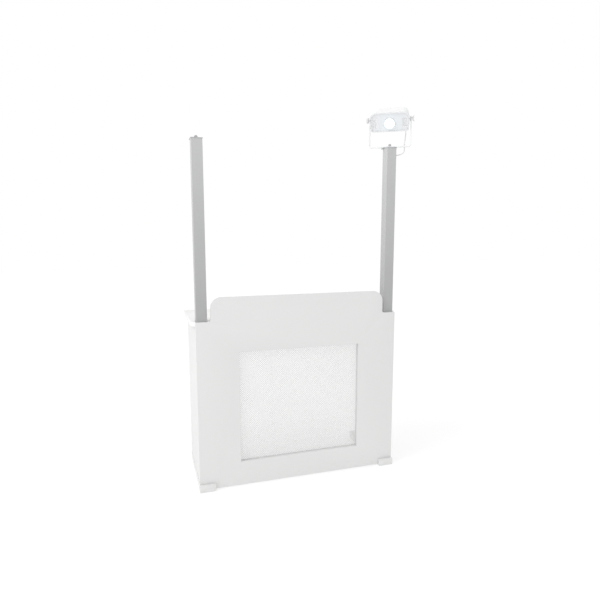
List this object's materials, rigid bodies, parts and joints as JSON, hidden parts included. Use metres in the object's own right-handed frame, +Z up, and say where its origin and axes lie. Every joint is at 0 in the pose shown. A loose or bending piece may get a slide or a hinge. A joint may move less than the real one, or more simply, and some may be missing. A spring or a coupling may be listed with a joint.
{
  "type": "exhibition visitor counter",
  "caption": "White visitor counter on two runners with a see-through front window, two grey masts and a yoke-mounted flood lamp that pans and tilts.",
  "frame": {"origin": "on the floor, at the centre of the four floor-anchor holes, midway between the runners and midway along them", "axes": "+Z up, the front faces -Y, +X to the right when looking along +Y"},
  "size_m": [1.3111, 0.5275, 2.1908],
  "materials": {
    "panel_white": "fibreboard sprayed in satin white lacquer",
    "mesh_white": "fine perforated steel sheet, white powder coat",
    "bead_white": "satin white lacquer",
    "board_white": "satin white lacquer",
    "top_white": "satin white lacquer",
    "runner_white": "satin white lacquer, scuffed at the floor",
    "mast_grey": "smooth light-grey powder coat",
    "steel_dark": "zinc-plated, dull",
    "cap_grey": "smooth grey powder coat",
    "zinc": "bright zinc-plated",
    "rubber_black": "matt",
    "lead_grey": "light-grey sheathed lead",
    "driver_metal": "plain folded sheet",
    "circuit_green": "solder-masked board",
    "plastic_black": "moulded",
    "fibre_grey": "hard fibre",
    "yoke_white": "white powder coat",
    "shell_grey": "pale grey powder coat",
    "bezel_white": "white powder coat",
    "face_blue": "pale blue-grey, satin",
    "louvre_grey": "satin",
    "ring_metal": "turned, satin",
    "lens_glass": "clear with a cool cast",
    "reflector_bright": "bright",
    "led_yellow": "lit lamp board",
    "sink_metal": "die-cast, raw",
    "knob_grey": "moulded grip",
    "wing_zinc": "zinc-plated casting"
  },
  "bodies": {
    "counter": {"front_panel": "panel_white", "window_infill": "mesh_white", "bead_top": "bead_white", "bead_bottom": "bead_white", "bead_left": "bead_white", "bead_right": "bead_white", "bead_screws": "zinc", "side_panel_left": "board_white", "side_panel_right": "board_white", "counter_top": "top_white", "rear_rail": "board_white", "runner_left": "runner_white", "runner_right": "runner_white", "mast_left": "mast_grey", "mast_right": "mast_grey", "mast_foot_left": "steel_dark", "mast_foot_right": "steel_dark", "foot_screws": "zinc", "mast_brackets": "steel_dark", "bracket_screws": "zinc", "mast_cap_left": "cap_grey", "mast_cap_right": "cap_grey", "cap_bolt": "zinc", "cap_nut": "zinc", "pan_bolt": "zinc", "pan_nut": "zinc", "lead_grommets": "rubber_black", "lead_in_mast": "lead_grey", "lead_lower": "lead_grey", "driver_case": "driver_metal", "driver_cover": "driver_metal", "driver_board": "circuit_green", "power_inlet": "plastic_black", "pan_washer": "fibre_grey"},
    "yoke": {"yoke": "yoke_white", "tilt_washers": "fibre_grey", "lead_clip": "yoke_white"},
    "head": {"lead_upper": "lead_grey", "head_shell": "shell_grey", "head_bezel": "bezel_white", "face_plate": "face_blue", "louvre_left": "louvre_grey", "louvre_right": "louvre_grey", "lens_ring": "ring_metal", "lens": "lens_glass", "reflector": "reflector_bright", "led_board": "led_yellow", "heat_sink": "sink_metal", "pivot_left": "ring_metal", "pivot_right": "ring_metal", "lead_gland": "plastic_black", "bezel_screws": "zinc"},
    "tilt_knob": {"tilt_knob": "knob_grey"},
    "wing_nut": {"wing_nut": "wing_zinc"}
  },
  "joints": [
    {"name": "yoke_pan", "type": "hinge", "parent": "counter", "child": "yoke", "pos_m": [0.564, -0.175, 1.955], "axis": [0, 0, 1], "range_deg": [-40, 75], "deforming": ["lead_lower"]},
    {"name": "head_tilt", "type": "hinge", "parent": "yoke", "child": "head", "pos_m": [0.564, -0.175, 2.11285], "axis": [0.8387, -0.5446, 0], "range_deg": [-42, 3], "deforming": ["lead_upper"]},
    {"name": "knob_turn", "type": "hinge", "parent": "head", "child": "tilt_knob", "pos_m": [0.564, -0.175, 2.11285], "axis": [-0.8387, 0.5446, 0], "range_deg": [0, 360]},
    {"name": "wing_turn", "type": "hinge", "parent": "head", "child": "wing_nut", "pos_m": [0.564, -0.175, 2.11285], "axis": [0.8387, -0.5446, 0], "range_deg": [0, 360]}
  ]
}
